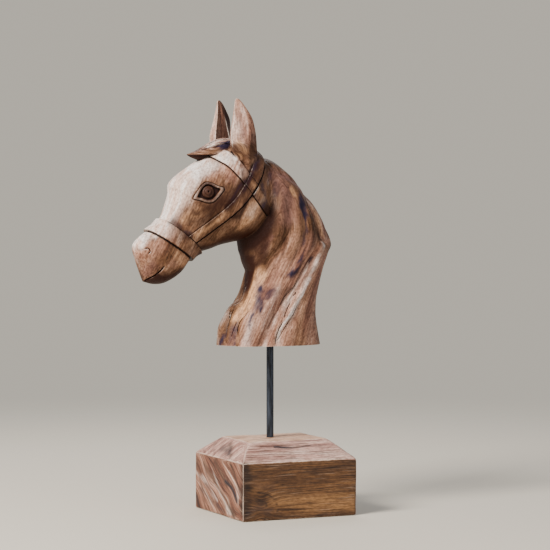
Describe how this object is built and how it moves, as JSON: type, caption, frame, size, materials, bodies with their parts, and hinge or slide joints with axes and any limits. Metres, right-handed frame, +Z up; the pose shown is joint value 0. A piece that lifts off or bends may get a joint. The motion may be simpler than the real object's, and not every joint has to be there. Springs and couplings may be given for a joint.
{
  "type": "carved horse head sculpture on stand",
  "caption": "Carved wooden horse head with a bridle, held above a chamfered wooden plinth by a steel rod.",
  "frame": {"origin": "centre of the plinth's underside", "axes": "+Z up, -X the way the horse faces, -Y the horse's left side"},
  "size_m": [0.2336, 0.132, 0.451],
  "materials": {
    "carved_wood": "carved, sanded and waxed, with dark stains and pale worn ridges",
    "plinth_wood": "sawn and lightly waxed, with dark streaks and worn edges",
    "blackened_steel": "black, half gloss"
  },
  "bodies": {
    "root": {"horse_head": "carved_wood", "support_rod": "blackened_steel", "plinth": "plinth_wood"}
  },
  "joints": []
}
